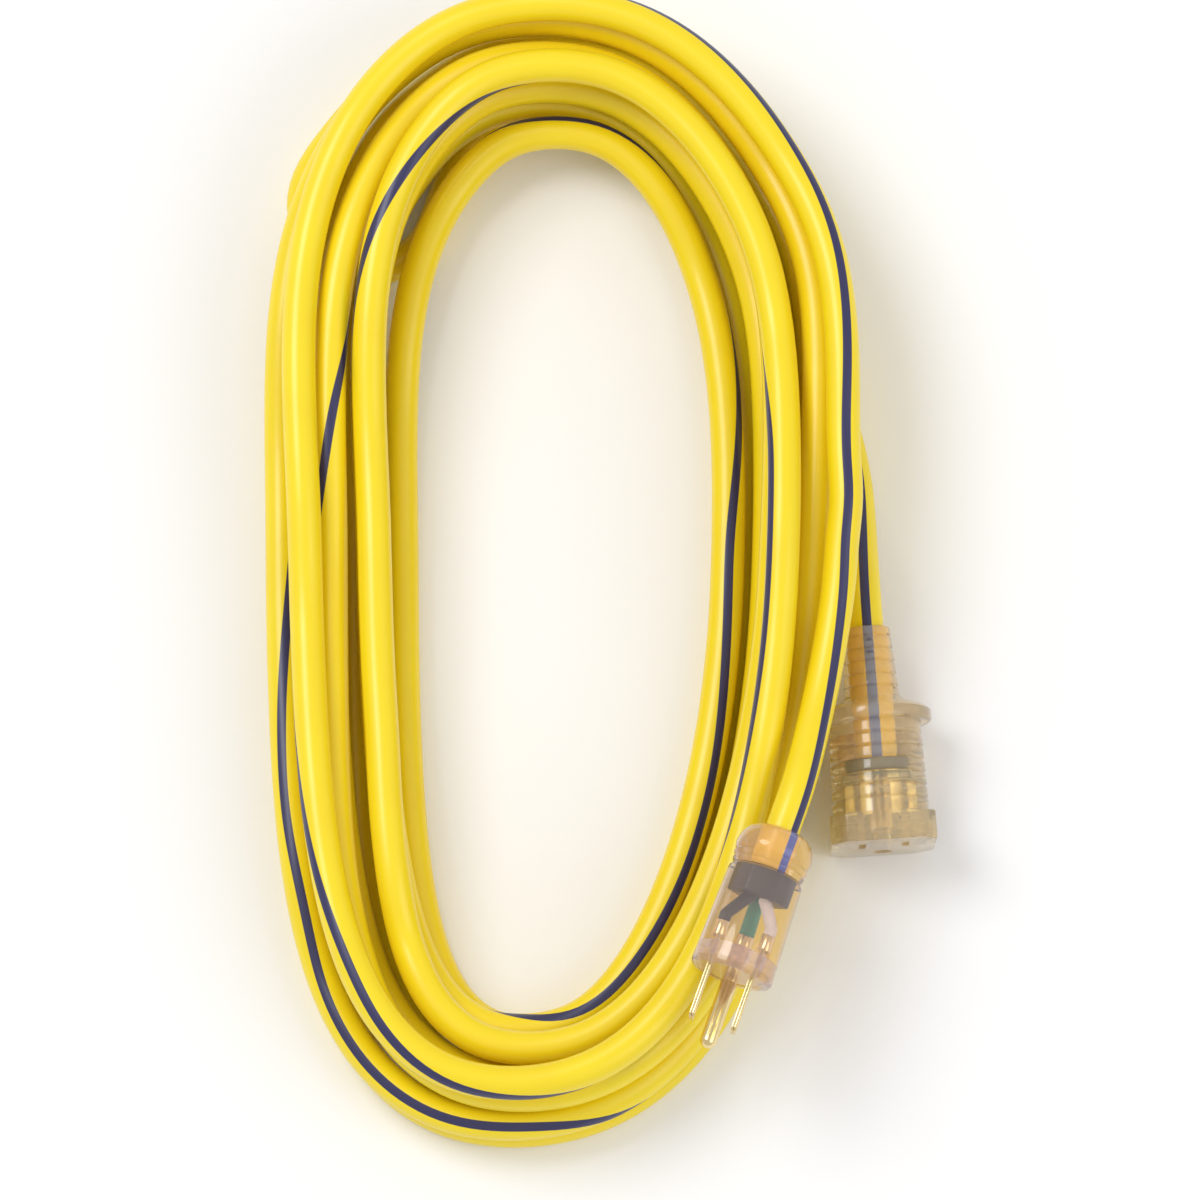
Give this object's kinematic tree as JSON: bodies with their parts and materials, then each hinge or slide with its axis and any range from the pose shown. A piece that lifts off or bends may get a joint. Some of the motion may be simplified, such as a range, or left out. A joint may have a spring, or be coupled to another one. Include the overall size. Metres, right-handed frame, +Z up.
{
  "type": "extension cord",
  "caption": "Grounded household extension cord wound into a flat oval hank, with a clear moulded plug and a tan see-through moulded connector.",
  "frame": {"origin": "on the surface that the cord lies on, under the middle of the whole cord's outline", "axes": "+Z up, +Y along the hank's long way, away from the plug's blades, +X towards the side where the connector lies"},
  "size_m": [0.1971, 0.341, 0.063],
  "materials": {
    "cord_jacket": "smooth vinyl jacket, yellow with one dark blue stripe",
    "plug_clear": "clear moulded vinyl with a faint pink tint",
    "plug_clear_insert": "clear moulded insert",
    "connector_tan_clear": "tan see-through moulded vinyl",
    "connector_insert": "tan see-through moulded insert",
    "brass": "bright stamped and turned brass",
    "copper": "bare copper strands",
    "black_insulation": "black wire insulation",
    "white_insulation": "white wire insulation",
    "green_insulation": "green wire insulation",
    "collar_black": "black moulded collar",
    "lamp_glass": "small glass lamp",
    "resistor_body": "lacquered resistor",
    "tinned_wire": "tinned lead wire"
  },
  "bodies": {
    "root": {"cable_hank": "cord_jacket", "cable_plug_lead": "cord_jacket", "cable_connector_lead": "cord_jacket", "plug_body": "plug_clear", "plug_blade_carrier": "plug_clear_insert", "plug_live_blade": "brass", "plug_neutral_blade": "brass", "plug_ground_pin": "brass", "plug_live_wire": "black_insulation", "plug_neutral_wire": "white_insulation", "plug_ground_wire": "green_insulation", "plug_wire_strands": "copper", "plug_cord_collar": "collar_black", "connector_body": "connector_tan_clear", "connector_contact_carrier": "connector_insert", "connector_live_contact": "brass", "connector_neutral_contact": "brass", "connector_ground_contact": "brass", "connector_live_wire": "black_insulation", "connector_neutral_wire": "white_insulation", "connector_ground_wire": "green_insulation", "connector_wire_strands": "copper", "connector_cord_collar": "collar_black", "connector_lamp": "lamp_glass", "connector_lamp_resistor": "resistor_body", "connector_lamp_leads": "tinned_wire"}
  },
  "joints": []
}
